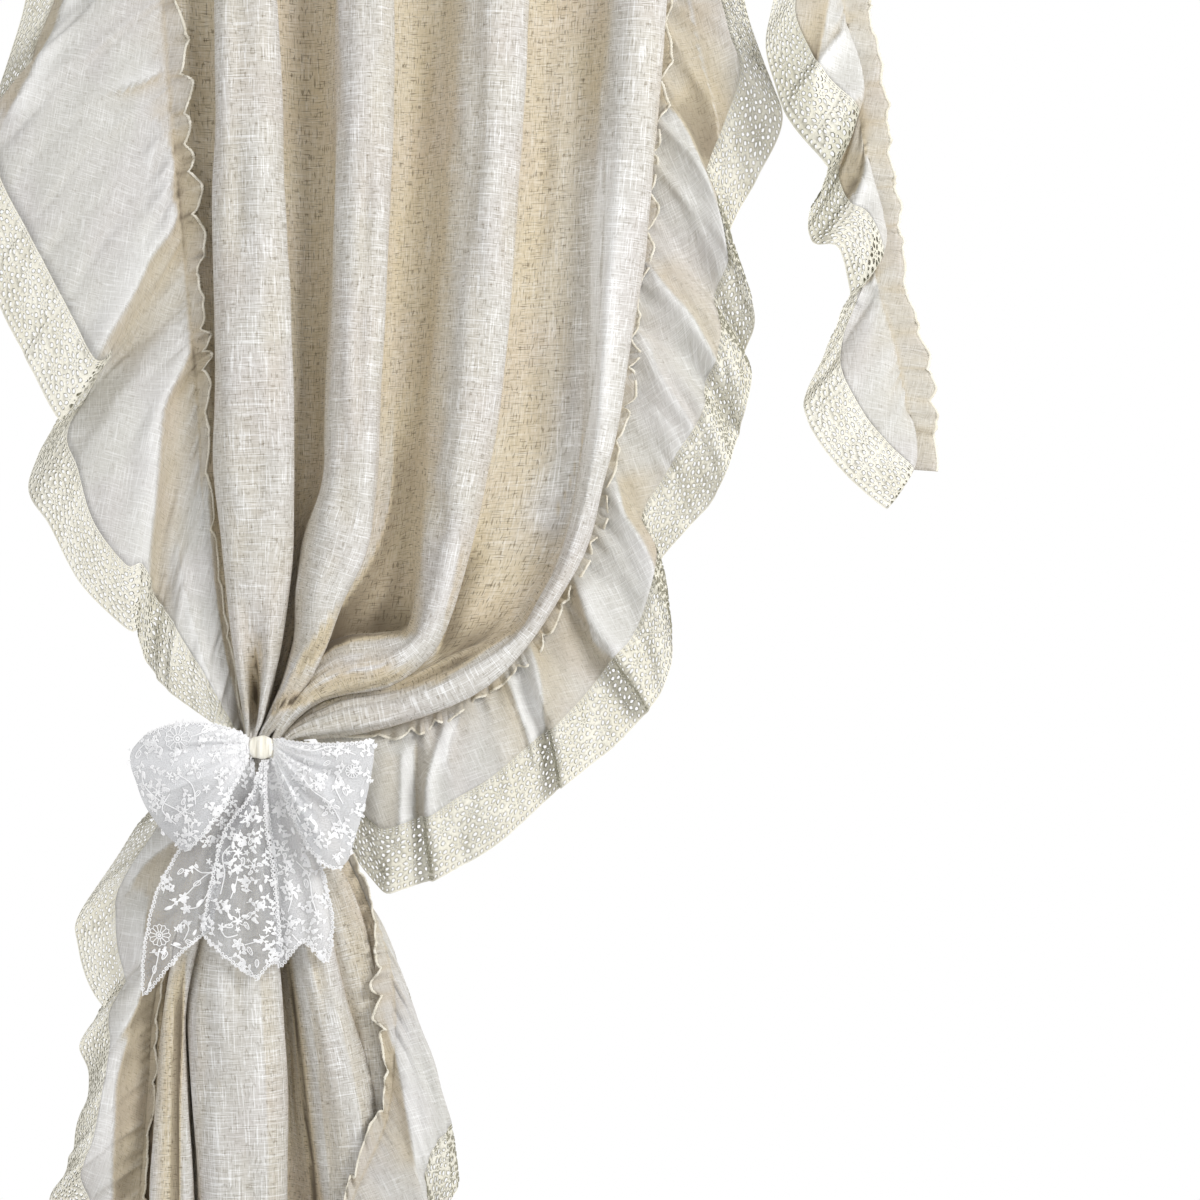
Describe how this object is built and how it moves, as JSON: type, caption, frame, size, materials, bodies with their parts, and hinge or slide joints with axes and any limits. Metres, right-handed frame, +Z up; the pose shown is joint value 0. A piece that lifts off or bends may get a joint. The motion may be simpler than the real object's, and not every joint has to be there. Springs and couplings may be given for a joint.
{
  "type": "ruffled tieback curtain",
  "caption": "Linen curtain panel gathered at the waist by a bow tie, with wide lace-edged ruffles down both sides and a short matching side tail.",
  "frame": {"origin": "middle of the curtain's heading, at its top edge", "axes": "+Z up, +X to the right seen from the front, the front faces -Y"},
  "size_m": [0.9806, 0.1072, 2.0124],
  "materials": {
    "linen": "coarse slubbed linen weave with dark flecks",
    "lace": "cream openwork lace",
    "net": "sheer white net with embroidered flowers",
    "band": "plain cream woven band"
  },
  "bodies": {
    "root": {"panel": "linen", "ruffle_left": "linen", "ruffle_right": "linen", "side_tail": "linen", "lace_left": "lace", "lace_right": "lace", "side_tail_lace": "lace", "tie_band": "band", "bow_knot": "band", "bow_loop_left": "net", "bow_loop_right": "net", "bow_tail_left": "net", "bow_tail_middle": "net", "bow_tail_right": "net"}
  },
  "joints": []
}
